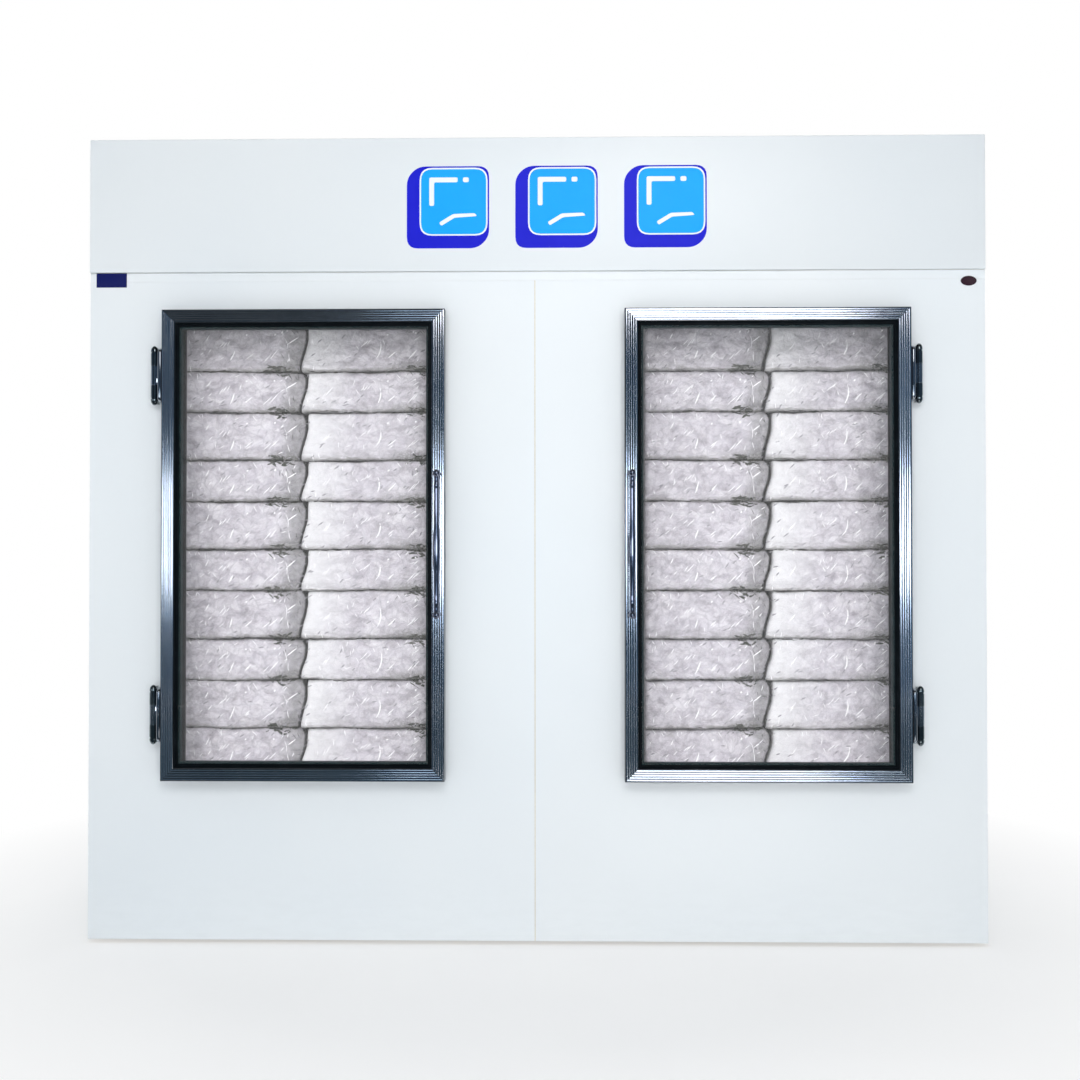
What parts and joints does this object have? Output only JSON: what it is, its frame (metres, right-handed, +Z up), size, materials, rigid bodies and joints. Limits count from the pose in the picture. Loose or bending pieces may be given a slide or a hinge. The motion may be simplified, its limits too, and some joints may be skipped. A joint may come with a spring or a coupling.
{
  "type": "ice merchandiser",
  "caption": "Wide insulated ice storage merchandiser with hinged glass doors in ribbed frames, a sign header over a machine compartment, and bagged ice stacked inside.",
  "frame": {"origin": "on the ground, in the middle of the overall box", "axes": "+X to the right as seen from the front, +Z up, the doors and the sign face -Y"},
  "size_m": [2.39, 1.038, 2.15],
  "materials": {
    "white_paint": "gloss",
    "insulation": "matte",
    "liner_sheet": "satin",
    "galvanised": "satin",
    "anodised": "satin",
    "chrome": "polished",
    "glass": "gloss",
    "black_rubber": "matte",
    "dark_spacer": "satin",
    "black_plastic": "satin",
    "black_enamel": "gloss",
    "aluminium": "satin",
    "copper": "satin",
    "white_plastic": "satin",
    "lamp_cover": "satin",
    "ice_bag": "gloss"
  },
  "bodies": {
    "cabinet": {"front_skin_left": "white_paint", "front_skin_right": "white_paint", "front_top_trim": "white_paint", "header_panel": "white_paint", "outer_wrap": "white_paint", "compartment_lid": "white_paint", "compartment_side_left": "white_paint", "compartment_side_right": "white_paint", "rear_grille": "white_paint", "front_wall_panel": "insulation", "left_wall_panel": "insulation", "right_wall_panel": "insulation", "rear_wall_panel": "insulation", "floor_panel": "insulation", "inner_liner": "liner_sheet", "ceiling_panel": "galvanised", "base_runner_left": "galvanised", "base_runner_right": "galvanised", "machine_tray": "galvanised", "fan_shroud": "galvanised", "electrical_box": "galvanised", "upper_hinge_leaf_left": "chrome", "upper_hinge_leaf_right": "chrome", "lower_hinge_leaf_left": "chrome", "lower_hinge_leaf_right": "chrome", "compressor": "black_enamel", "condenser_fan_motor": "black_enamel", "evaporator_motor": "black_enamel", "evaporator_housing": "aluminium", "evaporator_coil": "aluminium", "condenser_coil": "aluminium", "discharge_line": "copper", "liquid_line": "copper", "suction_line": "copper", "drain_pan": "white_plastic", "interior_light": "lamp_cover", "ice_bag_stack_left": "ice_bag", "ice_bag_stack_right": "ice_bag"},
    "door_left": {"door_frame_left": "anodised", "outer_glass_left": "glass", "inner_glass_left": "glass", "glass_spacer_left": "dark_spacer", "glazing_gasket_left": "black_rubber", "door_seal_left": "black_rubber", "door_handle_left": "chrome", "upper_hinge_strap_left": "chrome", "lower_hinge_strap_left": "chrome"},
    "door_right": {"door_frame_right": "anodised", "outer_glass_right": "glass", "inner_glass_right": "glass", "glass_spacer_right": "dark_spacer", "glazing_gasket_right": "black_rubber", "door_seal_right": "black_rubber", "door_handle_right": "chrome", "upper_hinge_strap_right": "chrome", "lower_hinge_strap_right": "chrome"},
    "condenser_fan": {"condenser_fan": "black_plastic"},
    "evaporator_fan": {"evaporator_fan": "black_plastic"},
    "power_switch": {"power_switch": "black_plastic"},
    "thermostat_knob": {"thermostat_knob": "black_plastic"}
  },
  "joints": [
    {"name": "door_left_hinge", "type": "hinge", "parent": "cabinet", "child": "door_left", "pos_m": [-1.0115, -0.451, 1.0615], "axis": [0, 0, -1], "range_deg": [0, 110]},
    {"name": "door_right_hinge", "type": "hinge", "parent": "cabinet", "child": "door_right", "pos_m": [1.0115, -0.451, 1.0615], "axis": [0, 0, 1], "range_deg": [0, 110]},
    {"name": "condenser_fan_spin", "type": "hinge", "parent": "cabinet", "child": "condenser_fan", "pos_m": [-0.25, 0.3739, 1.9718], "axis": [0, 1, 0], "continuous": true},
    {"name": "evaporator_fan_spin", "type": "hinge", "parent": "cabinet", "child": "evaporator_fan", "pos_m": [0, 0.0202, 1.655], "axis": [0, 1, 0], "continuous": true},
    {"name": "power_switch_rock", "type": "hinge", "parent": "cabinet", "child": "power_switch", "pos_m": [0.69, 0.49, 1.9003], "axis": [1, 0, 0], "range_deg": [-8, 8]},
    {"name": "thermostat_knob_turn", "type": "hinge", "parent": "cabinet", "child": "thermostat_knob", "pos_m": [0.83, 0.4933, 1.9003], "axis": [0, 1, 0], "range_deg": [0, 270]}
  ]
}
